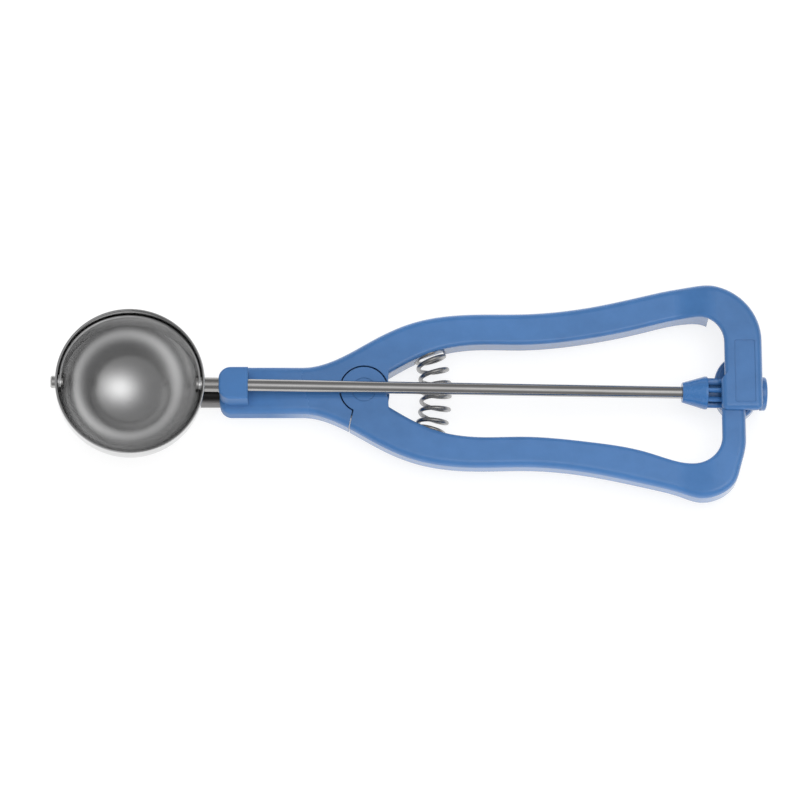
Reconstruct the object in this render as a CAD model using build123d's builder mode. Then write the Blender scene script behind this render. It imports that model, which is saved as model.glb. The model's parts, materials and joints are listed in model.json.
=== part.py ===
from build123d import *
from math import acos, asin, ceil, cos, degrees, pi, radians, sin, tan
import os

os.makedirs("parts", exist_ok=True)

# Lever ice cream scoop.  Squeezing the two grips drives a rack across a pinion,
# the pinion turns a long rod, and the rod sweeps a thin blade round the bowl.
# All sizes are in mm and degrees.  Along the handle, places are measured from
# the lever's pivot: x runs towards the grips' heel, height is above the
# handle's middle plane.  The part stands with its bowl's bottom at Z = 0.

# ---- bowl and wiper -------------------------------------------------------
bowl_radius = 28.8            # outside of the hemisphere
bowl_wall = 0.9
bowl_skirt = 3.9              # straight wall above the hemisphere
rim_round = 0.35
bowl_reach = 90.4             # pivot to bowl centre, along the rod
blade_thickness = 0.7
blade_width = 8.0
blade_gap = 0.8               # blade to bowl, along the rod
tab_length = 3.5              # blade end beyond the rod's axis
washer_radius = 3.6
washer_thickness = 0.45
stub_radius = 2.4             # head of the far pivot pin
stub_length = 1.7
stub_shank_radius = 1.9
stub_edge = 0.4
stub_proud = 0.6              # pin's inner end beyond the blade's tab
tab_round = 2.6
rod_radius = 2.38
rod_tilt = 3.8                # the rod slopes down towards the heel
rod_height = 8.8              # rod axis above the handle's middle, at the pivot
rod_head_radius = 3.2
rod_head = 1.0                # riveted end inside the blade's tab
head_stand = 0.25             # between that end and the flat of the tab

# ---- handle ---------------------------------------------------------------
handle_thickness = 11.0
neck_width = 18.6
shank_bare = 5.6              # from the bowl to the neck
neck_end = -24.0
neck_corner = 4.6
collar_length = 11.3
collar_height = 16.1          # roof above the middle plane
collar_half = 6.4             # half of the collar's width
collar_edge = 1.0
waist_x = 44.0
waist_half = 30.8             # outside of a grip at its waist
heel_half = 41.7              # outside of the upper grip at its heel
lever_heel_x = 131.0
lever_heel_half = 43.2        # outside of the lever at its heel
lever_heel_width = 13.85
lever_corner = 10.55          # inner corner of the heel
lever_slim = 0.4              # the lever is slimmer than the grip by this at its waist
bar_width = 12.5              # width of a grip
fork_x = 9.6                  # where the finger gap starts
fork_half = 6.6
fork_slope = 0.62             # finger side's slope where the gap starts
edge_round = 2.6              # palm side of the grips
inner_round = 1.5             # finger side of the grips

# ---- crossbar and gear housing --------------------------------------------
cross_left = 139.9
cross_right = 154.6
cross_bottom = -8.9
cross_corner = 22.6           # outer corner above the crossbar
inner_corner = 10.6           # inner corner above the crossbar
cross_front = 9.7             # front face above the middle plane
front_plate = 1.8
outer_wall = 5.0
wall_foot = -5.6              # the outer wall ends here, behind the front plate
nose_left = 138.5             # the wider lower end of the crossbar
nose_top = 3.2
nose_step = 1.6
nose_round = 2.4              # corner of that end, in plan
nose_edge = 2.2               # its front edge
panel_x = 147.8               # plain sunk panel on the crossbar's front
panel_y = 6.4
panel_wide = 7.8
panel_long = 24.9
panel_round = 0.8
panel_deep = 0.25
rise_start = 121.0            # where the grips' front face starts to rise
rise_end = 137.0
web_end = 134.0               # the upper grip's full section ends here
cover_long = 12.5             # half axes of the oval cover behind the pinion
cover_wide = 9.0
cover_y = 3.9
cover_round = 2.4             # back edge
cover_edge = 1.6              # front edge
cover_lip = 2.5

# ---- pivot ----------------------------------------------------------------
hub_radius = 9.05
hub_gap = 0.55                # round the hub, in the frame
hub_split = -1.15             # height between lever hub and frame plate
back_plate_radius = 9.9
hub_lift = 0.3                # hub above the back plate
pin_head_radius = 4.6
pin_sunk = 0.1                # pin head below the hub's face
pin_head = 1.3
pin_radius = 2.9
bush_wall = 0.7
retainer_radius = 5.2
retainer_thickness = 0.8
retainer_pocket = 1.5
seam_angle = 241.0            # where the seam leaves the hub's circle
seam_foot = (-6.4, -17.0)     # a point further down the seam
lever_stop_gap = 0.45

# ---- shank ----------------------------------------------------------------
shank_radius = 5.0
shank_wall = 1.0
shank_height = -3.2           # shank axis against the middle plane
shank_end = -27.0
belly_wall = 2.0              # plastic round the shank
belly_straight = -33.0
belly_end = -10.0
belly_tip = 0.6
lock_pin_radius = 1.2
lock_pin_x = -38.0
lock_pin_sunk = 1.0

# ---- bearings -------------------------------------------------------------
sleeve_wall = 0.32
rod_bush_wall = 0.45
bearing_lip = 0.2
running = 0.06                # radial running clearance
seat_gap = 0.02               # radial gap of fixed pieces
clearance = 0.3               # between moving pieces

# ---- rack and pinion ------------------------------------------------------
pinion_teeth = 8
gear_module = 1.25
pressure_angle = 29.0
backlash = 0.36
addendum = 0.75               # of the module
root_gap = 0.35
cone_start = 124.0            # along the rod, from the pivot
cone_small = 3.9
cone_large = 6.45
cone_land = 0.9
teeth_start = 133.6
teeth_end = 149.0
journal_radius = 3.4
cap_radius = 6.6
cap_thickness = 2.1
cap_seat = 0.3                # journal's end inside the cap
cap_round = 0.7
cap_gap = 0.2                 # behind the cap, in the crossbar's recess for it
cap_proud = 0.1               # the cap's inner face stands out of that recess in front
screw_radius = 1.1
screw_length = 7.0
screw_head_radius = 2.2
screw_head = 0.8
screw_slot = 0.4
screw_slot_width = 0.5
rack_left = 138.6
rack_right = 147.9
rack_top = 3.5
rack_front = 7.55             # above the middle plane
heel_top = -24.8              # the lever's full section ends here
heel_straight = -20.0         # the outside of the upright is straight above this

# ---- spring ---------------------------------------------------------------
spring_x = 27.9               # middle of the arc that the spring bows along
spring_bend = 50.0            # radius of that arc
seat_slope = 18.7             # slope of both seats, square to the arc's ends
seat_reach = 8.0              # how far a seat's pocket clears the grip
spring_radius = 5.5           # middle of the wire
spring_wire = 0.84            # wire radius
spring_turns = 6.5
spring_steps = 12             # points on each turn
spring_height = -2.2
seat_pocket = 6.7

# ---- what follows from the sizes above ------------------------------------
tilt = radians(rod_tilt)
half_thick = handle_thickness / 2
neck_half = neck_width / 2
bowl_inside = bowl_radius - bowl_wall
neck_start = bowl_radius + shank_bare - bowl_reach
blade_radius = bowl_inside - blade_gap
pitch_radius = gear_module * pinion_teeth / 2
tooth_pitch = pi * gear_module
tooth_depth = addendum * gear_module
tip_radius = pitch_radius + tooth_depth
root_radius = pitch_radius - tooth_depth - root_gap
rack_reach = (rack_left + rack_right) / 2
squeeze_ratio = rack_reach / pitch_radius
blade_tilt = degrees(asin((blade_width / 2) / blade_radius)) + 1.0
wiper_sweep = 180 - 2 * blade_tilt
lever_travel = wiper_sweep / squeeze_ratio
rack_teeth = ceil(radians(lever_travel) * rack_reach / tooth_pitch) + 3
heel_x = cross_right - cross_corner
heel_inner = heel_half - 1.02 * bar_width
lever_inner = lever_heel_half - lever_heel_width
cap_start = (cross_right + cap_proud) / cos(tilt) - cap_radius * tan(tilt)
cap_end = cap_start + cap_thickness
stub_end = -bowl_reach - bowl_radius - stub_length

handle_z = bowl_radius - rod_height - bowl_reach * sin(tilt)
cover_depth = handle_z - half_thick   # the cover stands as low as the bowl
tip_x = stub_end * cos(tilt) - stub_radius * sin(tilt)
tail_x = cap_end * cos(tilt) + (cap_radius - cap_round) * sin(tilt)
pivot_x = -(tip_x + tail_x) / 2

handle = Plane(origin=(pivot_x, 0, handle_z))
side_view = Plane(origin=(pivot_x, 0, handle_z), x_dir=(1, 0, 0), z_dir=(0, -1, 0))
rod_dir = (cos(tilt), 0, -sin(tilt))
up_dir = (sin(tilt), 0, cos(tilt))
rod_line = Plane(
    origin=(pivot_x, 0, handle_z + rod_height), x_dir=(0, 1, 0), z_dir=rod_dir
)
bowl_centre = rod_line.offset(-bowl_reach).origin
bowl_section = Plane(origin=bowl_centre, x_dir=rod_dir, z_dir=(0, -1, 0))


even = (1, 1)                 # a spline leaves its ends at an even pace


def across(x, height=0.0):
    """Plane across the handle at x: local x is +Y, y is up, z points to the heel."""
    return Plane(
        origin=(pivot_x + x, 0, handle_z + height), x_dir=(0, 1, 0), z_dir=(1, 0, 0)
    )


def between(start, end, shares):
    """Points from start on, each at its shares of the way along and across to end."""
    return [start] + [
        (start[0] + along * (end[0] - start[0]), start[1] + aside * (end[1] - start[1]))
        for along, aside in shares
    ]


def outer_points(side):
    """Palm side of one grip, from the neck to the heel."""
    neck = (neck_end, neck_half)
    waist = (waist_x, waist_half)
    heel = (heel_x, heel_half)
    flare = ((0.20, 0.01), (0.50, 0.26), (0.76, 0.72), (0.87, 0.91))
    if side < 0:
        heel = (lever_heel_x, lever_heel_half)
        flare = ((0.21, -0.02), (0.51, 0.18), (0.77, 0.565), (0.90, 0.81))
    near = between(neck, waist, ((0.17, 0.12), (0.40, 0.51), (0.63, 0.84)))
    far = between(waist, heel, flare)
    return [(x, side * y) for x, y in near + far + [heel]]


def inner_points(side):
    """Finger side of one grip, from the heel back to the fork."""
    heel = (cross_left - inner_corner, heel_inner)
    waist = (waist_x, waist_half - bar_width)
    flare = ((0.25, 0.37), (0.51, 0.79), (0.80, 1.005))
    if side < 0:
        heel = (rack_left - lever_corner, lever_inner)
        waist = (waist_x, waist_half - bar_width + lever_slim)
        flare = ((0.215, 0.42), (0.49, 0.82), (0.79, 1.01))
    fork = (fork_x, fork_half)
    points = between(heel, waist, flare) + between(waist, fork, ((0.465, 0.22),))
    return [(x, side * y) for x, y in points + [fork]]


def grip_outline(side):
    """One grip with its half of the neck's end, closed through the pivot."""
    with BuildSketch() as outline:
        with BuildLine():
            outer = Spline(*outer_points(side), tangents=((1, 0), (1, 0)), tangent_scalars=even)
            inner = Spline(
                *inner_points(side), tangents=((-1, 0), (-1, -side * fork_slope)),
                tangent_scalars=even,
            )
            Line(outer @ 1, inner @ 0)
            Polyline(inner @ 1, (fork_x - 0.25, side * 3.0), (0, 0), (neck_end, 0), outer @ 0)
        make_face()
    return outline.sketch


def seam_side(offset, reach):
    """Everything below the pivot on one side of the seam between frame and lever."""
    angle = radians(seam_angle)
    foot_x = seam_foot[0] + offset
    start = (hub_radius * cos(angle) + offset, hub_radius * sin(angle))
    with BuildSketch() as region:
        with BuildLine():
            Polyline(
                (0, 0), start, (foot_x, seam_foot[1]), (foot_x, -2 * heel_half),
                (reach, -2 * heel_half), (reach, 0), close=True,
            )
        make_face()
    return region.sketch


def above_front(height):
    """The space in front of a grip whose front face rises to height at the heel."""
    top = 3 * half_thick + collar_height
    with BuildSketch() as region:
        with BuildLine():
            Line((neck_start - 5, half_thick), (rise_start, half_thick))
            Spline(
                (rise_start, half_thick), (rise_end, height), tangents=((1, 0), (1, 0)),
                tangent_scalars=even,
            )
            Polyline(
                (rise_end, height), (cross_right + 10, height), (cross_right + 10, top),
                (neck_start - 5, top), (neck_start - 5, half_thick),
            )
        make_face()
    return region.sketch


def neck_outline():
    """Flat plan of the neck, with rounded corners at its front."""
    with BuildSketch() as outline:
        with BuildLine():
            front = FilletPolyline(
                (neck_end, neck_half), (neck_start, neck_half), (neck_start, -neck_half),
                (neck_end, -neck_half), radius=neck_corner,
            )
            Line(front @ 1, front @ 0)
        make_face()
    return outline.sketch


def crossbar_outline():
    """Plan of the crossbar: corner, outer side, wider lower end and inner corner."""
    arc_y = heel_half - cross_corner
    inner_centre = (cross_left - inner_corner, heel_inner - inner_corner)
    with BuildSketch() as outline:
        with BuildLine():
            outer = CenterArc((heel_x, arc_y), cross_corner, 0, 90)
            inner = CenterArc(inner_centre, inner_corner, 0, 90)
            Polyline(
                outer @ 0, (cross_right, cross_bottom), (nose_left, cross_bottom),
                (nose_left, nose_top), (cross_left, nose_top + nose_step), inner @ 0,
            )
            Line(inner @ 1, outer @ 1)
        make_face()
        nose = outline.vertices().sort_by_distance((nose_left, cross_bottom))[0]
        fillet(nose, nose_round)
    return outline.sketch


def channel_outline():
    """Plan of the hollow behind the front plate, open at the finger side and the foot."""
    arc_y = heel_half - cross_corner
    inside = cross_right - outer_wall
    with BuildSketch() as outline:
        with Locations((heel_x, arc_y)):
            Circle(cross_corner - outer_wall)
            Rectangle(
                inside - heel_x, 2 * arc_y, align=(Align.MIN, Align.MAX)
            )
        with Locations((web_end, 0)):
            Rectangle(
                inside - web_end, 2 * heel_half, align=(Align.MIN, Align.CENTER),
                mode=Mode.INTERSECT,
            )
        with Locations((inside, wall_foot)):
            Rectangle(2 * outer_wall, heel_half, align=(Align.MIN, Align.MAX))
    return outline.sketch


def palm_line():
    """Everything of the handle's plan that lies on the palm side, as one guide."""
    arc_y = heel_half - cross_corner
    with BuildLine() as guide:
        Spline(*outer_points(1), tangents=((1, 0), (1, 0)), tangent_scalars=even)
        Spline(*outer_points(-1), tangents=((1, 0), (1, 0)), tangent_scalars=even)
        FilletPolyline(
            (neck_end, neck_half), (neck_start, neck_half), (neck_start, -neck_half),
            (neck_end, -neck_half), radius=neck_corner,
        )
        outer = CenterArc((heel_x, arc_y), cross_corner, 0, 90)
        Line(outer @ 0, (cross_right, cross_bottom))
    return guide.line


def run_along(part, line):
    """Edges of a plate's faces that follow a guide line, seen from above."""
    found = ShapeList()
    for edge in part.edges():
        middle = edge @ 0.5
        seen = Vector(middle.X - pivot_x, middle.Y, 0)
        if line.distance_to(seen) < 0.05 and abs((edge % 0.5).Z) < 0.6:
            found.append(edge)
    return found


def heel_points():
    """Outside of the lever's heel, from the palm side up to the rack."""
    start = (lever_heel_x, -lever_heel_half)
    end = (rack_right, heel_straight)
    return between(start, end, ((0.53, 0.12), (0.745, 0.28), (0.865, 0.53))) + [end]


def lever_palm_line():
    """Palm side of the lever as one guide."""
    with BuildLine() as guide:
        Spline(*outer_points(-1), tangents=((1, 0), (1, 0)), tangent_scalars=even)
        Spline(*heel_points(), tangents=((1, 0), (0, 1)), tangent_scalars=even)
        Line((rack_right, heel_straight), (rack_right, rack_top))
    return guide.line


def lever_finger_line():
    """Finger side of the lever as one guide."""
    with BuildLine() as guide:
        Spline(*inner_points(-1), tangents=((-1, 0), (-1, fork_slope)), tangent_scalars=even)
        corner = CenterArc(
            (rack_left - lever_corner, lever_corner - lever_inner), lever_corner, 270, 90
        )
        Line(corner @ 1, (rack_left, rack_top))
    return guide.line


def heel_outline():
    """Plan of the lever's heel and rack, closed along the end of its grip."""
    with BuildSketch() as outline:
        with BuildLine():
            outer = Spline(*heel_points(), tangents=((1, 0), (0, 1)), tangent_scalars=even)
            inner = CenterArc(
                (rack_left - lever_corner, lever_corner - lever_inner), lever_corner, 270, 90
            )
            Polyline(outer @ 1, (rack_right, rack_top), (rack_left, rack_top), inner @ 1)
            Line(inner @ 0, outer @ 0)
        make_face()
    return outline.sketch


def involute(angle):
    """The involute function, for an angle in radians."""
    return tan(angle) - angle


def flank_point(radius, side):
    """Point on a pinion tooth's flank, for the tooth that points along local Y."""
    base = pitch_radius * cos(radians(pressure_angle))
    half = (tooth_pitch / 2 - backlash / 2) / (2 * pitch_radius) + involute(radians(pressure_angle))
    half = half - involute(acos(min(1.0, base / radius)))
    return (side * radius * sin(half), radius * cos(half))


def pinion_tooth():
    """One tooth of the pinion, rooted inside its root circle."""
    base = pitch_radius * cos(radians(pressure_angle))
    with BuildSketch() as tooth:
        with BuildLine():
            ends = []
            for side in (1, -1):
                foot = flank_point(base, side)
                tip = flank_point(tip_radius, side)
                flank = ThreePointArc(foot, flank_point(pitch_radius, side), tip)
                Line((0, 0), foot)
                ends.append(flank @ 1)
            Line(ends[0], ends[1])
        make_face()
    return tooth.sketch


def rack_tooth():
    """Section of one rack tooth, pointing down at the rod's axis."""
    slope = tan(radians(pressure_angle))
    half = tooth_pitch / 4 - backlash / 4
    top = pitch_radius + tooth_depth + root_gap
    bottom = pitch_radius - tooth_depth
    with BuildSketch() as tooth:
        with BuildLine():
            Polyline(
                (half - slope * tooth_depth, bottom), (half + slope * (top - pitch_radius), top),
                (half + slope * (top - pitch_radius), top + 0.5),
                (-half - slope * (top - pitch_radius), top + 0.5),
                (-half - slope * (top - pitch_radius), top),
                (-half + slope * tooth_depth, bottom), close=True,
            )
        make_face()
    return tooth.sketch


def rack_root(x):
    """Height of the rack's root above the middle plane: it slopes with the rod."""
    return rod_height - x * tan(tilt) + (tip_radius + root_gap) / cos(tilt)


def finger_line():
    """Finger side of the upper grip as a guide, with the corner to the crossbar."""
    with BuildLine() as guide:
        Spline(*inner_points(1), tangents=((-1, 0), (-1, -fork_slope)), tangent_scalars=even)
        corner = CenterArc(
            (cross_left - inner_corner, heel_inner - inner_corner), inner_corner, 0, 90
        )
        Line(corner @ 0, (cross_left, nose_top + nose_step))
    return guide.line


def nose_line():
    """Free edge of the crossbar's wider end as a guide."""
    with BuildLine() as guide:
        Line((nose_left, nose_top), (nose_left, cross_bottom + nose_round))
        corner = CenterArc(
            (nose_left + nose_round, cross_bottom + nose_round), nose_round, 180, 90
        )
        Line(corner @ 1, (cross_right - edge_round, cross_bottom))
    return guide.line


def seat_plane(side):
    """Floor of a spring seat, above or below the rod, facing into the grip."""
    slope = radians(seat_slope)
    x = spring_x - spring_bend + spring_bend * cos(slope)
    return Plane(
        origin=(pivot_x + x, side * spring_bend * sin(slope), handle_z + spring_height),
        z_dir=(-sin(slope), side * cos(slope), 0),
    )


def coil_point(share):
    """Middle of the spring's wire, at a share of the way from the lower seat."""
    turn = (2 * share - 1) * (radians(seat_slope) - (spring_wire + seat_gap) / spring_bend)
    wind = 2 * pi * spring_turns * share
    reach = spring_bend + spring_radius * sin(wind)
    x = spring_x - spring_bend + reach * cos(turn)
    height = spring_height + spring_radius * cos(wind)
    return (pivot_x + x, reach * sin(turn), handle_z + height)


# ---- frame body -----------------------------------------------------------
# Neck, upper grip and crossbar in one moulding: the collar carries the rod,
# the neck's belly holds the shank and the back plate carries the lever's pin.
hub_hole = hub_radius + hub_gap
sleeve_radius = rod_radius + running + sleeve_wall
rod_bush_radius = rod_radius + running + rod_bush_wall
shank_line = across(shank_end, shank_height)
belly_radius = shank_radius + belly_wall
bush_radius = pin_radius + running + bush_wall
belly_front = neck_start + collar_edge
lock_pin_top = Vector(pivot_x + lock_pin_x, 0, handle_z + half_thick - lock_pin_sunk)
lock_pin_length = half_thick - lock_pin_sunk - shank_height

with BuildPart() as collar:
    with BuildSketch(handle):
        with Locations((neck_start, 0)):
            Rectangle(collar_length, 2 * collar_half, align=(Align.MIN, Align.CENTER))
    extrude(amount=collar_height)
    fillet(collar.edges().filter_by(Axis.Z).group_by(Axis.X)[0], neck_corner)
    fillet(collar.faces().sort_by(Axis.Z)[-1].edges(), collar_edge)

with BuildPart() as frame_handle:
    # flat body: neck, fork, upper grip and crossbar
    with BuildSketch(handle.offset(-half_thick)):
        add(grip_outline(1))
        add(grip_outline(-1))
        add(seam_side(0.0, cross_right), mode=Mode.SUBTRACT)
        add(neck_outline())
        add(crossbar_outline())
    extrude(amount=half_thick + cross_front)
    with BuildSketch(side_view):
        add(above_front(cross_front))
    extrude(amount=2 * heel_half, both=True, mode=Mode.SUBTRACT)
    fillet(run_along(frame_handle.part, palm_line()), edge_round)
    fillet(run_along(frame_handle.part, finger_line()), inner_round)
    fillet(run_along(frame_handle.part, nose_line()), nose_edge)
    with BuildSketch(handle.offset(cross_front)):
        with Locations((panel_x, panel_y)):
            RectangleRounded(panel_wide, panel_long, panel_round)
    extrude(amount=-panel_deep, mode=Mode.SUBTRACT)
    # hollow behind the front plate, where the rack runs
    with BuildSketch(handle.offset(cross_front - front_plate)):
        add(channel_outline())
    extrude(amount=-(cross_front + handle_thickness), mode=Mode.SUBTRACT)
    # plastic round the shank, tapering into the flat body
    with BuildSketch(side_view):
        with BuildLine():
            Polyline(
                (belly_end, shank_height), (belly_front, shank_height),
                (belly_front, shank_height + belly_radius - collar_edge),
                (belly_front + collar_edge, shank_height + belly_radius),
                (belly_straight, shank_height + belly_radius),
            )
            Spline(
                (belly_straight, shank_height + belly_radius),
                (belly_end, shank_height + belly_tip), tangents=((1, 0), (1, -0.3)),
                tangent_scalars=even,
            )
            Line((belly_end, shank_height + belly_tip), (belly_end, shank_height))
        make_face()
    revolve(axis=Axis(shank_line.origin, (1, 0, 0)))
    add(collar.part)
    # plate behind the lever's hub, and the round hollow in front of it
    with BuildSketch(handle.offset(-half_thick)):
        Circle(back_plate_radius)
    extrude(amount=half_thick + hub_split)
    with BuildSketch(handle.offset(hub_split)):
        Circle(hub_hole)
    extrude(amount=collar_height, mode=Mode.SUBTRACT)
    with BuildSketch(handle.offset(-half_thick)):
        Circle(pin_radius + seat_gap)
    extrude(amount=handle_thickness, mode=Mode.SUBTRACT)
    with BuildSketch(handle.offset(-half_thick)):
        Circle(retainer_radius + clearance)
    extrude(amount=retainer_pocket, mode=Mode.SUBTRACT)
    # bores for the shank, the lock pin, the rod's bush and the pinion's journal
    with BuildSketch(shank_line):
        Circle(shank_radius + seat_gap)
    extrude(amount=neck_start - shank_end - neck_corner, mode=Mode.SUBTRACT)
    with BuildSketch(Plane(origin=lock_pin_top, z_dir=(0, 0, -1))):
        Circle(lock_pin_radius + seat_gap)
    extrude(amount=lock_pin_length + seat_gap, mode=Mode.SUBTRACT)
    with BuildSketch(rod_line.offset(neck_start - neck_corner)):
        Circle(rod_bush_radius + seat_gap)
    extrude(amount=collar_length + 2 * neck_corner, mode=Mode.SUBTRACT)
    with BuildSketch(rod_line.offset(teeth_end)):
        Circle(journal_radius + running)
    extrude(amount=outer_wall + collar_length, mode=Mode.SUBTRACT)
    # shallow recess that the cap turns in, square to the rod
    with BuildSketch(rod_line.offset(cap_start - cap_gap)):
        Circle(cap_radius + clearance)
    extrude(amount=outer_wall, mode=Mode.SUBTRACT)
    # pocket for the spring
    with BuildSketch(seat_plane(1)):
        Circle(seat_pocket)
    extrude(amount=-seat_reach, mode=Mode.SUBTRACT)
frame_handle.part.label = "frame_handle"
export_step(frame_handle.part, "parts/frame_handle.step")

# Oval cover behind the pinion; its flat back is what the handle rests on.
cover_x = cross_right - cover_wide
with BuildPart() as gear_cover:
    with BuildSketch(handle.offset(-half_thick)):
        with Locations((cover_x, cover_y)):
            Ellipse(cover_wide, cover_long)
    extrude(amount=-cover_depth)
    fillet(gear_cover.edges().sort_by(Axis.Z)[0], cover_round)
    fillet(gear_cover.edges().sort_by(Axis.Z)[-1], cover_edge)
    # lip inside the channel, against the outer wall
    with BuildSketch(handle.offset(-half_thick)):
        with Locations((cross_right - outer_wall - seat_gap, cover_y + cover_long / 2)):
            Rectangle(cover_lip, cover_wide, align=(Align.MAX, Align.CENTER))
    extrude(amount=2 * cover_lip)
    with BuildSketch(rod_line.offset(cone_start)):
        Circle(tip_radius + clearance)
    extrude(amount=teeth_end + clearance - cone_start, mode=Mode.SUBTRACT)
    with BuildSketch(rod_line.offset(cap_start - cap_gap)):
        Circle(cap_radius + clearance)
    extrude(amount=outer_wall, mode=Mode.SUBTRACT)
gear_cover.part.label = "gear_cover"
export_step(gear_cover.part, "parts/gear_cover.step")

# Spun bowl: a hemisphere with a short straight wall, pierced for the wiper.
with BuildPart() as bowl:
    with BuildSketch(bowl_section):
        with BuildLine():
            Line((0, -bowl_radius), (0, -bowl_inside))
            CenterArc((0, 0), bowl_inside, 270, 90)
            Line((bowl_inside, 0), (bowl_inside, bowl_skirt))
            Line((bowl_inside, bowl_skirt), (bowl_radius, bowl_skirt))
            Line((bowl_radius, bowl_skirt), (bowl_radius, 0))
            CenterArc((0, 0), bowl_radius, 270, 90)
        make_face()
    revolve(axis=Axis(bowl_centre, up_dir))
    fillet(bowl.edges().group_by(Axis(bowl_centre, up_dir))[-1], rim_round)
    with BuildSketch(rod_line.offset(-bowl_reach)):
        Circle(sleeve_radius + seat_gap)
    extrude(amount=2 * bowl_radius, mode=Mode.SUBTRACT)
    with BuildSketch(rod_line.offset(-bowl_reach)):
        Circle(stub_shank_radius + seat_gap)
    extrude(amount=-2 * bowl_radius, mode=Mode.SUBTRACT)
bowl.part.label = "bowl"
export_step(bowl.part, "parts/bowl.step")

# Steel tube from the bowl into the neck, its far end shaped to the bowl.
with BuildPart() as bowl_shank:
    with BuildSketch(shank_line):
        Circle(shank_radius)
        Circle(shank_radius - shank_wall, mode=Mode.SUBTRACT)
    extrude(amount=-(bowl_reach + shank_end - bowl_radius / 2))
    with BuildSketch(Plane(origin=lock_pin_top, z_dir=(0, 0, -1))):
        Circle(lock_pin_radius + seat_gap)
    extrude(amount=lock_pin_length, mode=Mode.SUBTRACT)
    with Locations(bowl_centre):
        Sphere(bowl_radius, mode=Mode.SUBTRACT)
bowl_shank.part.label = "bowl_shank"
export_step(bowl_shank.part, "parts/bowl_shank.step")

with BuildPart() as shank_lock_pin:
    with BuildSketch(Plane(origin=lock_pin_top, z_dir=(0, 0, -1))):
        Circle(lock_pin_radius)
    extrude(amount=lock_pin_length)
shank_lock_pin.part.label = "shank_lock_pin"
export_step(shank_lock_pin.part, "parts/shank_lock_pin.step")

# Thin bearing tube between the bowl's wall and the collar.
sleeve_start = bowl_inside - bowl_reach - bearing_lip
bush_start = neck_start / cos(tilt) - bearing_lip
with BuildPart() as bearing_sleeve:
    with BuildSketch(rod_line.offset(sleeve_start)):
        Circle(sleeve_radius)
        Circle(rod_radius + running, mode=Mode.SUBTRACT)
    extrude(amount=bush_start - sleeve_start)
bearing_sleeve.part.label = "bearing_sleeve"
export_step(bearing_sleeve.part, "parts/bearing_sleeve.step")

with BuildPart() as rod_bush:
    with BuildSketch(rod_line.offset(bush_start)):
        Circle(rod_bush_radius)
        Circle(rod_radius + running, mode=Mode.SUBTRACT)
    extrude(amount=collar_length)
rod_bush.part.label = "rod_bush"
export_step(rod_bush.part, "parts/rod_bush.step")

# Headed pin through the bowl's far wall, on which the blade's far tab turns.
pin_seat = -bowl_reach - bowl_radius
pin_reach = -bowl_reach - blade_radius + blade_thickness + stub_proud
with BuildPart() as far_pivot_pin:
    with BuildSketch(rod_line.offset(stub_end)):
        Circle(stub_radius)
    extrude(amount=stub_length + stub_radius / 2)
    chamfer(far_pivot_pin.edges().sort_by(Axis.X)[0], stub_edge)
    with BuildSketch(Plane(origin=bowl_centre, z_dir=up_dir)):
        Circle(bowl_radius)
    extrude(amount=bowl_radius, both=True, mode=Mode.SUBTRACT)
    with BuildSketch(rod_line.offset(pin_seat - stub_edge)):
        Circle(stub_shank_radius)
    extrude(amount=pin_reach - pin_seat + stub_edge)
far_pivot_pin.part.label = "far_pivot_pin"
export_step(far_pivot_pin.part, "parts/far_pivot_pin.step")

# Pin that carries the lever, held behind the back plate by a push-on ring.
pin_top = half_thick - pin_sunk
with BuildPart() as pivot_pin:
    with BuildSketch(handle.offset(pin_top)):
        Circle(pin_head_radius)
    extrude(amount=-pin_head)
    with BuildSketch(handle.offset(pin_top - pin_head)):
        Circle(pin_radius)
    extrude(amount=-(pin_top - pin_head + half_thick - pin_sunk))
pivot_pin.part.label = "pivot_pin"
export_step(pivot_pin.part, "parts/pivot_pin.step")

with BuildPart() as pivot_retainer:
    with BuildSketch(handle.offset(retainer_pocket - half_thick)):
        Circle(retainer_radius)
        Circle(pin_radius + seat_gap, mode=Mode.SUBTRACT)
    extrude(amount=-retainer_thickness)
pivot_retainer.part.label = "pivot_retainer"
export_step(pivot_retainer.part, "parts/pivot_retainer.step")

# Return spring between the two grips, bowed because its seats slope apart.
coil_points = int(spring_turns * spring_steps)
with BuildPart() as return_spring:
    with BuildLine():
        coil = Spline(*[coil_point(point / coil_points) for point in range(coil_points + 1)])
    with BuildSketch(Plane(origin=coil @ 0, z_dir=coil % 0)):
        Circle(spring_wire)
    sweep()
return_spring.part.label = "return_spring"
export_step(return_spring.part, "parts/return_spring.step")

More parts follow.
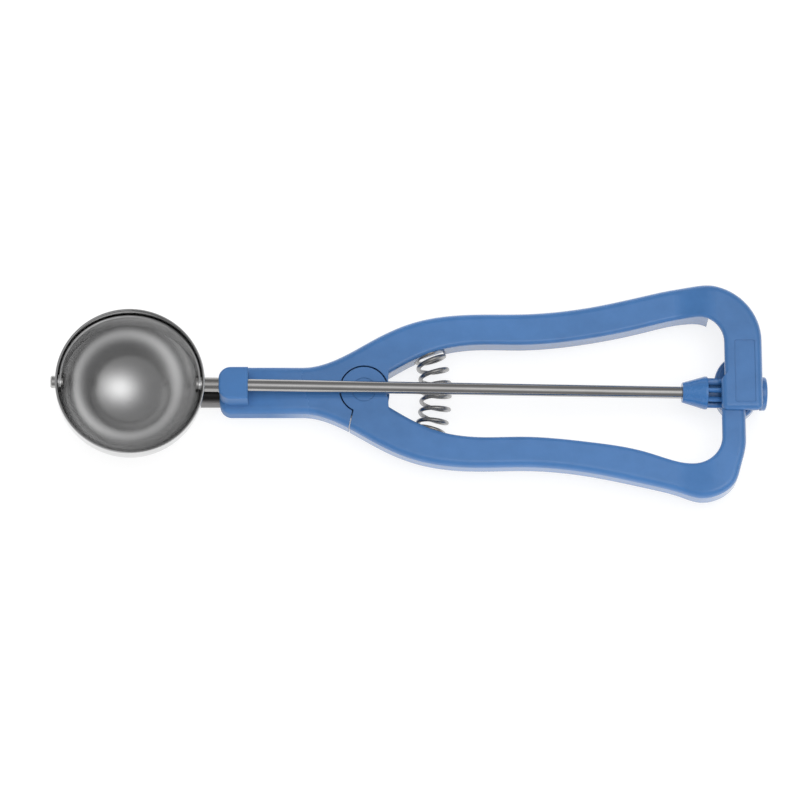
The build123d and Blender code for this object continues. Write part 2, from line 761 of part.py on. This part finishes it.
# ---- lever body -----------------------------------------------------------
# Lower grip with its hub, its heel and the rack that crosses the pinion.
hub_floor = hub_split + hub_lift
with BuildPart() as squeeze_lever:
    with BuildSketch(handle.offset(-half_thick)):
        add(grip_outline(-1))
        add(seam_side(lever_stop_gap, neck_start), mode=Mode.SUBTRACT)
        add(heel_outline())
    extrude(amount=half_thick + rack_front)
    with BuildSketch(side_view):
        add(above_front(rack_front))
    extrude(amount=2 * heel_half, both=True, mode=Mode.SUBTRACT)
    fillet(run_along(squeeze_lever.part, lever_palm_line()), edge_round)
    fillet(run_along(squeeze_lever.part, lever_finger_line()), inner_round)
    # hub in front of the frame's back plate
    with BuildSketch(handle.offset(-half_thick)):
        Circle(back_plate_radius + clearance)
    extrude(amount=half_thick + hub_floor, mode=Mode.SUBTRACT)
    with BuildSketch(handle.offset(hub_floor)):
        Circle(hub_radius)
    extrude(amount=half_thick - hub_floor)
    with BuildSketch(handle.offset(hub_floor)):
        Circle(bush_radius + seat_gap)
    extrude(amount=handle_thickness, mode=Mode.SUBTRACT)
    with BuildSketch(handle.offset(pin_top - pin_head - seat_gap)):
        Circle(pin_head_radius + running)
    extrude(amount=handle_thickness, mode=Mode.SUBTRACT)
    # behind the rack's web, whose toothed side follows the rod
    with BuildSketch(side_view.offset(-2 * rack_top)):
        with BuildLine():
            Polyline(
                (lever_heel_x, -handle_thickness), (cross_right, -handle_thickness),
                (cross_right, rack_root(cross_right)), (lever_heel_x, rack_root(lever_heel_x)),
                close=True,
            )
        make_face()
    extrude(amount=2 * rack_top - heel_top, mode=Mode.SUBTRACT)
    # teeth, each one turned about the pivot, all within the web
    tooth_turn = degrees(tooth_pitch / rack_reach)
    tooth_from = (rack_left + running) / cos(radians(tooth_turn * rack_teeth))
    tooth_to = (rack_right - inner_round) / cos(tilt)
    for tooth in range(rack_teeth):
        turn = tooth_turn * (0.5 - tooth)
        direction = Vector(*rod_dir).rotate(Axis.Z, turn)
        start = Vector(rod_line.origin) + direction * tooth_from
        aside = Vector(0, 1, 0).rotate(Axis.Z, turn)
        with BuildSketch(Plane(origin=start, x_dir=aside, z_dir=direction)):
            add(rack_tooth())
        extrude(amount=tooth_to - tooth_from)
    # pocket for the spring
    with BuildSketch(seat_plane(-1)):
        Circle(seat_pocket)
    extrude(amount=-seat_reach, mode=Mode.SUBTRACT)
squeeze_lever.part.label = "squeeze_lever"
export_step(squeeze_lever.part, "parts/squeeze_lever.step")

with BuildPart() as hub_bush:
    with BuildSketch(handle.offset(hub_floor)):
        Circle(bush_radius)
        Circle(pin_radius + running, mode=Mode.SUBTRACT)
    extrude(amount=pin_top - pin_head - running - hub_floor)
hub_bush.part.label = "hub_bush"
export_step(hub_bush.part, "parts/hub_bush.step")

# ---- wiper body -----------------------------------------------------------
# Half-ring blade, bent from strip, with a tab at each end round the rod's axis.
slope = radians(blade_tilt)
blade_up = Vector(*up_dir) * cos(slope) + Vector(0, 1, 0) * sin(slope)
blade_plane = Plane(origin=bowl_centre, x_dir=rod_dir, z_dir=blade_up)
with BuildPart() as wiper_blade:
    with BuildSketch(blade_plane):
        with BuildLine():
            outer = CenterArc((0, 0), blade_radius, 0, 180)
            inner = CenterArc((0, 0), blade_radius - blade_thickness, 0, 180)
            for side in (0, 1):
                Polyline(
                    outer @ side, outer @ side - Vector(0, tab_length),
                    inner @ side - Vector(0, tab_length), inner @ side,
                )
        make_face()
    extrude(amount=blade_width / 2, both=True)
    tabs = wiper_blade.edges().filter_by(Axis(bowl_centre, rod_dir))
    fillet(tabs, tab_round)
    with BuildSketch(rod_line.offset(-bowl_reach)):
        Circle(rod_radius + seat_gap)
    extrude(amount=bowl_radius, mode=Mode.SUBTRACT)
    with BuildSketch(rod_line.offset(-bowl_reach)):
        Circle(stub_shank_radius + running)
    extrude(amount=-bowl_radius, mode=Mode.SUBTRACT)
wiper_blade.part.label = "wiper_blade"
export_step(wiper_blade.part, "parts/wiper_blade.step")

# Spacing washers between the blade's tabs and the bowl's wall.
near_face = blade_radius - bowl_reach
far_face = -blade_radius - bowl_reach
with BuildPart() as near_washer:
    with BuildSketch(rod_line.offset(near_face)):
        Circle(washer_radius)
        Circle(rod_radius + seat_gap, mode=Mode.SUBTRACT)
    extrude(amount=washer_thickness)
near_washer.part.label = "near_washer"
export_step(near_washer.part, "parts/near_washer.step")

with BuildPart() as far_washer:
    with BuildSketch(rod_line.offset(far_face)):
        Circle(washer_radius)
        Circle(stub_shank_radius + running, mode=Mode.SUBTRACT)
    extrude(amount=-washer_thickness)
far_washer.part.label = "far_washer"
export_step(far_washer.part, "parts/far_washer.step")

# Long rod, riveted over inside the blade's near tab.
rod_start = near_face - blade_thickness - head_stand
rod_end = teeth_end - tooth_pitch / 2
with BuildPart() as wiper_rod:
    with BuildSketch(rod_line.offset(rod_start)):
        Circle(rod_radius)
    extrude(amount=rod_end - rod_start)
    with BuildSketch(rod_line.offset(rod_start)):
        Circle(rod_head_radius)
    extrude(amount=-rod_head)
    fillet(wiper_rod.faces().sort_by(Axis.X)[0].edges(), rod_head / 2)
wiper_rod.part.label = "wiper_rod"
export_step(wiper_rod.part, "parts/wiper_rod.step")

screw_top = cap_end - seat_gap
screw_tip = screw_top - screw_head - screw_length

# Pinion with its long cone, its teeth and the journal in the outer wall.
with BuildPart() as pinion_gear:
    with BuildSketch(rod_line.offset(cone_start)):
        Circle(cone_small)
    with BuildSketch(rod_line.offset(teeth_start - cone_land)):
        Circle(cone_large)
    loft()
    with BuildSketch(rod_line.offset(teeth_start - cone_land)):
        Circle(cone_large)
    extrude(amount=cone_land)
    with BuildSketch(rod_line.offset(teeth_start)):
        Circle(root_radius)
        with PolarLocations(0, pinion_teeth):
            add(pinion_tooth())
    extrude(amount=teeth_end - teeth_start)
    with BuildSketch(rod_line.offset(teeth_end)):
        Circle(journal_radius)
    extrude(amount=cap_start + cap_seat - teeth_end)
    with BuildSketch(rod_line.offset(cone_start)):
        Circle(rod_radius + seat_gap)
    extrude(amount=rod_end - cone_start + seat_gap, mode=Mode.SUBTRACT)
    with BuildSketch(rod_line.offset(screw_tip - seat_gap)):
        Circle(screw_radius + seat_gap)
    extrude(amount=cap_end - screw_tip, mode=Mode.SUBTRACT)
pinion_gear.part.label = "pinion_gear"
export_step(pinion_gear.part, "parts/pinion_gear.step")

with BuildPart() as end_cap:
    with BuildSketch(rod_line.offset(cap_start)):
        Circle(cap_radius)
    extrude(amount=cap_thickness)
    fillet(end_cap.faces().sort_by(Axis.X)[-1].edges(), cap_round)
    with BuildSketch(rod_line.offset(cap_start)):
        Circle(journal_radius + seat_gap)
    extrude(amount=cap_seat + seat_gap, mode=Mode.SUBTRACT)
    with BuildSketch(rod_line.offset(cap_start)):
        Circle(screw_radius + seat_gap)
    extrude(amount=cap_thickness, mode=Mode.SUBTRACT)
    with BuildSketch(rod_line.offset(screw_top - screw_head)):
        Circle(screw_head_radius + seat_gap)
    extrude(amount=cap_thickness, mode=Mode.SUBTRACT)
end_cap.part.label = "end_cap"
export_step(end_cap.part, "parts/end_cap.step")

# Slotted screw that holds the cap on the pinion's journal.
with BuildPart() as cap_screw:
    with BuildSketch(rod_line.offset(screw_top)):
        Circle(screw_head_radius)
    extrude(amount=-screw_head)
    with BuildSketch(rod_line.offset(screw_top)):
        Circle(screw_radius)
    extrude(amount=-screw_head - screw_length)
    with BuildSketch(rod_line.offset(screw_top)):
        Rectangle(2.2 * screw_head_radius, screw_slot_width)
    extrude(amount=-screw_slot, mode=Mode.SUBTRACT)
cap_screw.part.label = "cap_screw"
export_step(cap_screw.part, "parts/cap_screw.step")
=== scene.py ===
import bpy
import bmesh
import json
from math import cos, pi, radians, sin
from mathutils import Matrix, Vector


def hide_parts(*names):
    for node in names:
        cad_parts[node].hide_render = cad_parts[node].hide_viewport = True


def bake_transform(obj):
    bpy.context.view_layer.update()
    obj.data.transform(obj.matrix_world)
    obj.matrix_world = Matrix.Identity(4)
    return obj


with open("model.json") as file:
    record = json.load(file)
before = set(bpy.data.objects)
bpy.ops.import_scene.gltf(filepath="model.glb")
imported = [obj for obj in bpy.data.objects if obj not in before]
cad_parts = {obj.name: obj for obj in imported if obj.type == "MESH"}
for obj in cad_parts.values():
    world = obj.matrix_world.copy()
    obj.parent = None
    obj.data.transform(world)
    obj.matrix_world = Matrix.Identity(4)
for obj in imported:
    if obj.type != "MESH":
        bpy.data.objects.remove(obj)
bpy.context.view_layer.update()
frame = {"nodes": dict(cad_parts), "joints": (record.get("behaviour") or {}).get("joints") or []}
nodes = frame["nodes"]
joints = {j["name"]: j for j in frame["joints"]}

# ---- places and sizes, in metres ------------------------------------------
PIVOT = Vector(joints["lever_squeeze"]["pos_m"])
ROD = Vector(joints["wiper_spin"]["pos_m"])
ALONG = Vector(joints["wiper_spin"]["axis"]).normalized()      # bowl to heel
TURN = (0, ALONG.angle(Vector((1, 0, 0))), 0)                  # level to the rod's slope
BOWL_REACH = 0.0904                                            # pivot to bowl centre
BOWL = ROD - ALONG * BOWL_REACH
SHANK = PIVOT + Vector((0, 0, -0.0032))                        # on the shank's axis
SHANK_SHADE_FROM = 0.0036          # painted shade: the shank is darkened from this height above its axis, where it lies under the sleeve
PAINTED_SHADE_FADE = 0.0007
NECK_POLISHED = -0.018         # from here to the heel, hands have polished the handle
NECK_SATIN = -0.036            # from here to the bowl, it has kept its satin skin
TOOTH_TIP = 0.0053
TOOTH_ROOT = 0.0040
TEETH_START = (0.1334, 0.1337)
RIM_SHADE_RADIUS = (0.0285, 0.0284)    # painted shade lies within this radius, on the inner wall near the rim
RIM_SHADE_HEIGHT = (0.0010, 0.0024)


# ---- node helpers ---------------------------------------------------------
class Nodes:
    """A node tree, with short ways to add and link nodes."""

    def __init__(self, owner, out):
        owner.use_nodes = True
        self.owner = owner
        self.tree = owner.node_tree
        self.tree.nodes.clear()
        self.out = self.add(out)

    def add(self, kind, **values):
        node = self.tree.nodes.new(kind)
        for key, value in values.items():
            setattr(node, key, value)
        return node

    def put(self, socket, value):
        if isinstance(value, bpy.types.NodeSocket):
            self.tree.links.new(value, socket)
        elif value is not None:
            socket.default_value = value

    def math(self, operation, a, b=None):
        node = self.add("ShaderNodeMath", operation=operation)
        self.put(node.inputs[0], a)
        self.put(node.inputs[1], b)
        return node.outputs[0]

    def vector_math(self, operation, a, b):
        node = self.add("ShaderNodeVectorMath", operation=operation)
        self.put(node.inputs[0], a)
        self.put(node.inputs[1], b)
        return node

    def sum_of(self, a, b, share):
        """So much of a, and the rest of b."""
        return self.math(
            "ADD", self.math("MULTIPLY", a, share), self.math("MULTIPLY", b, 1.0 - share)
        )

    def distance(self, a, b):
        """Distance from an axis, from the two coordinates square to it."""
        squares = self.math("ADD", self.math("POWER", a, 2.0), self.math("POWER", b, 2.0))
        return self.math("POWER", squares, 0.5)

    def split(self, vector):
        node = self.add("ShaderNodeSeparateXYZ")
        self.put(node.inputs[0], vector)
        return node.outputs

    def place(self, origin=(0, 0, 0), rotation=(0, 0, 0), scale=(1, 1, 1)):
        node = self.add("ShaderNodeMapping", vector_type="TEXTURE")
        self.put(node.inputs["Vector"], self.add("ShaderNodeTexCoord").outputs["Object"])
        node.inputs["Location"].default_value = origin
        node.inputs["Rotation"].default_value = rotation
        node.inputs["Scale"].default_value = scale
        return node.outputs[0]

    def noise(self, vector, scale, detail=3.0, roughness=0.5):
        node = self.add("ShaderNodeTexNoise")
        self.put(node.inputs["Vector"], vector)
        node.inputs["Scale"].default_value = scale
        node.inputs["Detail"].default_value = detail
        node.inputs["Roughness"].default_value = roughness
        return node.outputs[0]

    def remap(self, value, low, high, to_low, to_high):
        node = self.add("ShaderNodeMapRange")
        self.put(node.inputs[0], value)
        for index, number in enumerate((low, high, to_low, to_high)):
            node.inputs[index + 1].default_value = number
        return node.outputs[0]

    def blend(self, factor, a, b):
        node = self.add("ShaderNodeMix", data_type="RGBA")
        self.put(node.inputs[0], factor)
        self.put(node.inputs[6], (*a, 1) if isinstance(a, tuple) else a)
        self.put(node.inputs[7], (*b, 1) if isinstance(b, tuple) else b)
        return node.outputs[2]

    def bump(self, height, strength, distance, under=None):
        node = self.add("ShaderNodeBump")
        self.put(node.inputs["Height"], height)
        node.inputs["Strength"].default_value = strength
        node.inputs["Distance"].default_value = distance
        self.put(node.inputs["Normal"], under)
        return node.outputs[0]

    def edges(self, radius):
        """A normal that rounds the edges off."""
        node = self.add("ShaderNodeBevel", samples=6)
        node.inputs["Radius"].default_value = radius
        return node.outputs[0]

    def shader(self, **sockets):
        node = self.add("ShaderNodeBsdfPrincipled")
        for key, value in sockets.items():
            self.put(node.inputs[key.replace("_", " ")], value)
        self.put(self.out.inputs[0], node.outputs[0])
        return self.owner


def look(name):
    """The node tree of a new material."""
    return Nodes(bpy.data.materials.new(name), "ShaderNodeOutputMaterial")


def shade(colour, factor):
    """A colour made darker or lighter."""
    return tuple(min(1.0, c * factor) for c in colour)


def grey(level):
    return (level, level, level)


# ---- kinds of material ----------------------------------------------------
def plastic(name, colour, rough, edge, gap_shade=None, satin_neck=False):
    """Moulded plastic: faint flow marks, a fine grain, a polished skin and soft edges, and painted
    shade where a mask is given.
    """
    n = look(name)
    flow = n.noise(n.place(scale=(2.5, 1, 1)), 28.0, 2.0)
    cloud = n.noise(n.place(), 160.0, 4.0, 0.6)
    grain = n.noise(n.place(), 2600.0, 2.0, 0.6)
    tone = n.remap(n.sum_of(flow, cloud, 0.65), 0.35, 0.65, 0, 1)
    paint = n.blend(tone, shade(colour, 0.90), shade(colour, 1.10))
    if gap_shade:
        # painted shade: deep between the teeth, the colour is darkened to half
        paint = n.blend(gap_shade(n), paint, shade(colour, 0.5))
    roughness = n.remap(cloud, 0.3, 0.7, rough - 0.04, rough + 0.06)
    coat = 0.5
    if satin_neck:
        satin = n.remap(n.split(n.place(PIVOT))[0], NECK_POLISHED, NECK_SATIN, 0, 1)
        roughness = n.math("ADD", roughness, n.math("MULTIPLY", satin, 0.32))
        coat = n.remap(satin, 0, 1, coat, 0.0)
    normal = n.bump(grain, 0.10, 0.00004, n.edges(edge))
    return n.shader(
        Base_Color=paint, Roughness=roughness, Coat_Weight=coat, Coat_Roughness=0.15,
        Normal=n.bump(flow, 0.10, 0.0004, normal), IOR=1.55,
    )


def tooth_gap_shade(n):
    """How deep a point lies between the pinion's teeth, from 0 to 1: the mask for painted shade
    there.
    """
    x, y, z = n.split(n.place(ROD, TURN))
    deep = n.remap(n.distance(y, z), TOOTH_TIP, TOOTH_ROOT, 0, 1)
    return n.math("MULTIPLY", deep, n.remap(x, *TEETH_START, 0, 1))


def steel(name, colour, rough, lines, turn=(0, 0, 0), origin=(0, 0, 0), depth=0.12, edge=0.0,
          painted_shade_from=None):
    """Drawn or rolled steel: fine lines along one direction and faint stains.

    Given a height, the side above it over the origin is painted dark, as painted shade.
    """
    n = look(name)
    fine = n.noise(n.place(origin, turn, lines), 1.0, 4.0, 0.65)
    stain = n.noise(n.place(), 90.0, 3.0)
    mixed = n.sum_of(fine, stain, 0.7)
    tone = n.blend(n.remap(mixed, 0.3, 0.7, 0, 1), shade(colour, 0.82), shade(colour, 1.12))
    # painted shade: above the given height the steel is painted near black
    if painted_shade_from:
        height = n.split(n.place(origin))[2]
        dark = n.remap(height, painted_shade_from, painted_shade_from + PAINTED_SHADE_FADE, 0, 1)
        tone = n.blend(dark, tone, (0.035, 0.034, 0.034))
    return n.shader(
        Base_Color=tone, Metallic=1.0,
        Roughness=n.remap(mixed, 0.3, 0.7, rough - 0.05, rough + 0.07),
        Normal=n.bump(fine, depth, 0.00003, n.edges(edge) if edge else None),
    )


def spun(name, colour, rough):
    """Spun and polished steel: rings round the bowl's axis, and painted shade on the inner wall
    near the rim, standing in for a dark reflection.
    """
    n = look(name)
    at = n.place(BOWL, TURN)
    x, y, z = n.split(at)
    across = n.distance(x, y)
    ring = n.add("ShaderNodeTexNoise", noise_dimensions="1D")
    n.put(ring.inputs["W"], n.math("ARCTAN2", across, z))
    ring.inputs["Scale"].default_value = 130.0
    ring.inputs["Detail"].default_value = 4.0
    stain = n.noise(at, 70.0, 4.0, 0.6)
    mixed = n.sum_of(ring.outputs[0], stain, 0.6)
    paint = n.blend(n.remap(mixed, 0.35, 0.65, 0, 1), shade(colour, 0.90), shade(colour, 1.08))
    # painted shade: the inner wall near the rim is darkened to 0.55 of the colour
    rim_shade = n.math(
        "MULTIPLY", n.remap(across, *RIM_SHADE_RADIUS, 0, 1), n.remap(z, *RIM_SHADE_HEIGHT, 0, 1)
    )
    return n.shader(
        Base_Color=n.blend(rim_shade, paint, shade(colour, 0.55)), Metallic=1.0,
        Roughness=n.remap(mixed, 0.3, 0.7, rough - 0.04, rough + 0.05),
        Normal=n.bump(ring.outputs[0], 0.10, 0.00005),
    )


# ---- materials ------------------------------------------------------------
BLUE = (0.056, 0.180, 0.435)
DRAWN = (0.02, 0.0006, 0.0006)           # long lines, along a rod or tube
ROLLED = (0.006, 0.006, 0.0008)
TURNED = (0.0008, 0.0008, 0.0008)

handle_blue = plastic("handle_plastic_look", BLUE, 0.18, 0.0005, satin_neck=True)
cover_blue = plastic("cover_plastic_look", shade(BLUE, 0.95), 0.20, 0.0004)
gear_blue = plastic("gear_plastic_look", (0.048, 0.182, 0.46), 0.26, 0.0003, tooth_gap_shade)
bush_white = plastic("bush_plastic_look", (0.42, 0.42, 0.41), 0.42, 0.0002)
rod_steel = steel("rod_steel_look", (0.46, 0.455, 0.45), 0.17, DRAWN, TURN, ROD)
tube_steel = steel("tube_steel_look", (0.39, 0.385, 0.38), 0.24, DRAWN, TURN, ROD)
# painted shade: the shank's top, in the shade under the sleeve, is painted near black
shank_steel = steel(
    "shank_steel_look", (0.21, 0.205, 0.205), 0.26, DRAWN, origin=SHANK, painted_shade_from=SHANK_SHADE_FROM,
)
blade_steel = steel("blade_steel_look", grey(0.78), 0.17, ROLLED, depth=0.03, edge=0.0003)
pin_steel = steel("pin_steel_look", (0.50, 0.495, 0.49), 0.30, TURNED, edge=0.0002)
spring_steel = steel("spring_wire_look", (0.42, 0.415, 0.41), 0.28, TURNED)
bowl_steel = spun("bowl_steel_look", grey(0.62), 0.16)

LOOKS = {
    "frame_handle": handle_blue, "squeeze_lever": handle_blue, "gear_cover": cover_blue,
    "pinion_gear": gear_blue, "end_cap": cover_blue, "bowl": bowl_steel,
    "wiper_blade": blade_steel, "near_washer": blade_steel, "far_washer": blade_steel,
    "wiper_rod": rod_steel, "bowl_shank": shank_steel, "bearing_sleeve": tube_steel,
    "shank_lock_pin": pin_steel, "far_pivot_pin": pin_steel, "pivot_pin": handle_blue,
    "pivot_retainer": pin_steel, "cap_screw": pin_steel, "return_spring": spring_steel,
    "rod_bush": bush_white, "hub_bush": bush_white,
}
for name, material in LOOKS.items():
    nodes[name].data.materials.clear()
    nodes[name].data.materials.append(material)

# ---- return spring --------------------------------------------------------
MIDDLE = PIVOT + Vector((0.0279, 0, -0.0022))
BEND = 0.050                   # radius of the arc that the spring bows along
SLOPE = radians(18.7)          # of both seats, square to the arc's ends
COIL_RADIUS = 0.0055
WIRE = 0.00084                 # radius of the wire
TURNS = 7.3
CLOSED = 0.75                  # turns that lie close at each end
TIGHT = 2.1                    # their pitch, in wire radii
STEPS = 40                     # points on each turn
SIDES = 14                     # of the wire's section


def coil_path():
    """Middle of a compression spring's wire: it bows along an arc, and its end coils are closed."""
    points = []
    half = SLOPE * BEND - WIRE
    tight = TIGHT * WIRE
    pitch = (2 * half - 2 * CLOSED * tight) / (TURNS - 2 * CLOSED)
    run = -half
    for i in range(int(TURNS * STEPS) + 1):
        turn = i / STEPS
        from_end = min(turn, TURNS - turn)
        if i:
            run += (tight if from_end < CLOSED else pitch) / STEPS
        wind = 2 * pi * turn + pi
        reach = BEND + COIL_RADIUS * cos(wind)
        points.append(MIDDLE + Vector((
            reach * cos(run / BEND) - BEND, reach * sin(run / BEND), -COIL_RADIUS * sin(wind),
        )))
    return points


def tube(name, path, radius, sides):
    """A round wire along a list of points, with closed ends."""
    mesh = bpy.data.meshes.new(name)
    bm = bmesh.new()
    rings = []
    side = Vector((0, 0, 1))
    for i, point in enumerate(path):
        ahead = (path[min(i + 1, len(path) - 1)] - path[max(i - 1, 0)]).normalized()
        side = (side - ahead * side.dot(ahead)).normalized()
        other = ahead.cross(side)
        ring = []
        for k in range(sides):
            angle = 2 * pi * k / sides
            ring.append(bm.verts.new(point + (side * cos(angle) + other * sin(angle)) * radius))
        rings.append(ring)
    for a, b in zip(rings, rings[1:]):
        for k in range(sides):
            bm.faces.new((a[k], a[(k + 1) % sides], b[(k + 1) % sides], b[k]))
    bm.faces.new(reversed(rings[0]))
    bm.faces.new(rings[-1])
    bmesh.ops.recalc_face_normals(bm, faces=bm.faces)
    bm.to_mesh(mesh)
    bm.free()
    mesh.shade_smooth()
    piece = bpy.data.objects.new(name, mesh)
    bpy.context.scene.collection.objects.link(piece)
    return piece


spring = tube("return_spring_coil", coil_path(), WIRE, SIDES)
spring.data.materials.append(spring_steel)
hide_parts("return_spring")
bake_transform(spring)

# ---- floor ----------------------------------------------------------------
FLOOR_HALF = 3.0
FLOOR_DROP = -0.0002
FLOOR_GLOW = 0.76              # what cameras, metal and gloss see, besides the lit share

floor_mesh = bpy.data.meshes.new("floor")
floor_mesh.from_pydata(
    [
        (-FLOOR_HALF, -FLOOR_HALF, FLOOR_DROP), (FLOOR_HALF, -FLOOR_HALF, FLOOR_DROP),
        (FLOOR_HALF, FLOOR_HALF, FLOOR_DROP), (-FLOOR_HALF, FLOOR_HALF, FLOOR_DROP),
    ],
    [], [(0, 1, 2, 3)],
)
floor = bpy.data.objects.new("floor", floor_mesh)
bpy.context.scene.collection.objects.link(floor)
n = look("floor_look")
speck = n.noise(n.place(), 40.0, 2.0)
lit = n.add("ShaderNodeBsdfDiffuse")
n.put(lit.inputs[0], n.blend(speck, grey(0.80), grey(0.82)))
pale = n.add("ShaderNodeBsdfDiffuse")
n.put(pale.inputs[0], n.blend(speck, grey(0.34), grey(0.36)))
glow = n.add("ShaderNodeEmission")
glow.inputs[1].default_value = FLOOR_GLOW
both = n.add("ShaderNodeAddShader")
n.put(both.inputs[0], pale.outputs[0])
n.put(both.inputs[1], glow.outputs[0])
ray = n.add("ShaderNodeLightPath").outputs
seen = n.math(
    "MAXIMUM", ray["Is Camera Ray"],
    n.math("MAXIMUM", ray["Is Glossy Ray"], ray["Is Transmission Ray"]),
)
mix = n.add("ShaderNodeMixShader")
n.put(mix.inputs[0], seen)
n.put(mix.inputs[1], lit.outputs[0])
n.put(mix.inputs[2], both.outputs[0])
n.put(n.out.inputs[0], mix.outputs[0])
floor_mesh.materials.append(n.owner)

# ---- studio ---------------------------------------------------------------
HORIZON = grey(0.8)
ZENITH = (0.25, 0.25, 0.255)
SKY = ((0.06, 0.75), (0.12, 0.50), (0.20, 0.36), (0.45, 0.28))     # height, level between them
SOFT_LIGHTS = (                # direction, narrowness, strength
    ((0.262, -0.108, 0.959), 12.5, 1.00),                          # overhead
    ((0.63, -0.10, 0.77), 14.0, 0.41),                             # towards the heel
)
LAMP_AIM = Vector((0, 0, 0.01))
LAMPS = (                      # name, place, size, power
    ("overhead_fill", (0, 0, 1.6), (1.4, 1.4), 10.5),
    ("front_fill", (0, -1.5, 0.45), (2.4, 0.8), 12.0),
    ("back_fill", (0, 1.5, 0.45), (2.4, 0.8), 10.0),
)

n = Nodes(bpy.data.worlds.new("studio"), "ShaderNodeOutputWorld")
bpy.context.scene.world = n.owner
outward = n.add("ShaderNodeTexCoord").outputs["Generated"]
ramp = n.add("ShaderNodeValToRGB")
n.put(ramp.inputs[0], n.split(outward)[2])
ramp.color_ramp.elements[0].color = (*HORIZON, 1)
ramp.color_ramp.elements[1].color = (*ZENITH, 1)
for height, level in SKY:
    ramp.color_ramp.elements.new(height).color = (*grey(level), 1)
light = ramp.outputs[0]
for direction, narrow, strength in SOFT_LIGHTS:
    toward = n.vector_math("DOT_PRODUCT", outward, Vector(direction).normalized())
    off = n.math("SUBTRACT", toward.outputs["Value"], 1.0)
    lobe = n.math("MULTIPLY", n.math("EXPONENT", n.math("MULTIPLY", off, narrow)), strength)
    light = n.vector_math("ADD", light, lobe).outputs[0]
sky = n.add("ShaderNodeBackground")
n.put(sky.inputs[0], light)
n.put(n.out.inputs[0], sky.outputs[0])

for name, at, size, power in LAMPS:
    data = bpy.data.lights.new(name, "AREA")
    data.shape = "RECTANGLE"
    data.size, data.size_y = size
    data.energy = power
    lamp = bpy.data.objects.new(name, data)
    lamp.location = at
    lamp.rotation_euler = (LAMP_AIM - Vector(at)).to_track_quat("-Z", "Y").to_euler()
    lamp.visible_glossy = False
    bpy.context.scene.collection.objects.link(lamp)

# ---- camera ---------------------------------------------------------------
ELEVATION = radians(75.3)
DISTANCE = 1.6
IMAGE_SIDE = 800
PX_PER_M = 2570.0
PIVOT_IN_IMAGE = (364, 392.99)           # from the image's left and top
SENSOR = 36.0

right_of_pivot = (IMAGE_SIDE / 2 - PIVOT_IN_IMAGE[0]) / PX_PER_M
below_pivot = (IMAGE_SIDE / 2 - PIVOT_IN_IMAGE[1]) / PX_PER_M
target = PIVOT + Vector((right_of_pivot, -below_pivot / sin(ELEVATION), 0))
back = Vector((0, -cos(ELEVATION), sin(ELEVATION)))
camera_data = bpy.data.cameras.new("camera")
camera_data.sensor_width = SENSOR
camera_data.lens = SENSOR * DISTANCE * PX_PER_M / IMAGE_SIDE
camera_data.clip_start = 0.01
camera_data.clip_end = 20.0
camera = bpy.data.objects.new("camera", camera_data)
camera.location = target + back * DISTANCE
camera.rotation_euler = (-back).to_track_quat("-Z", "Y").to_euler()
bpy.context.scene.collection.objects.link(camera)
bpy.context.scene.camera = camera

bpy.context.scene.view_settings.view_transform = "Standard"
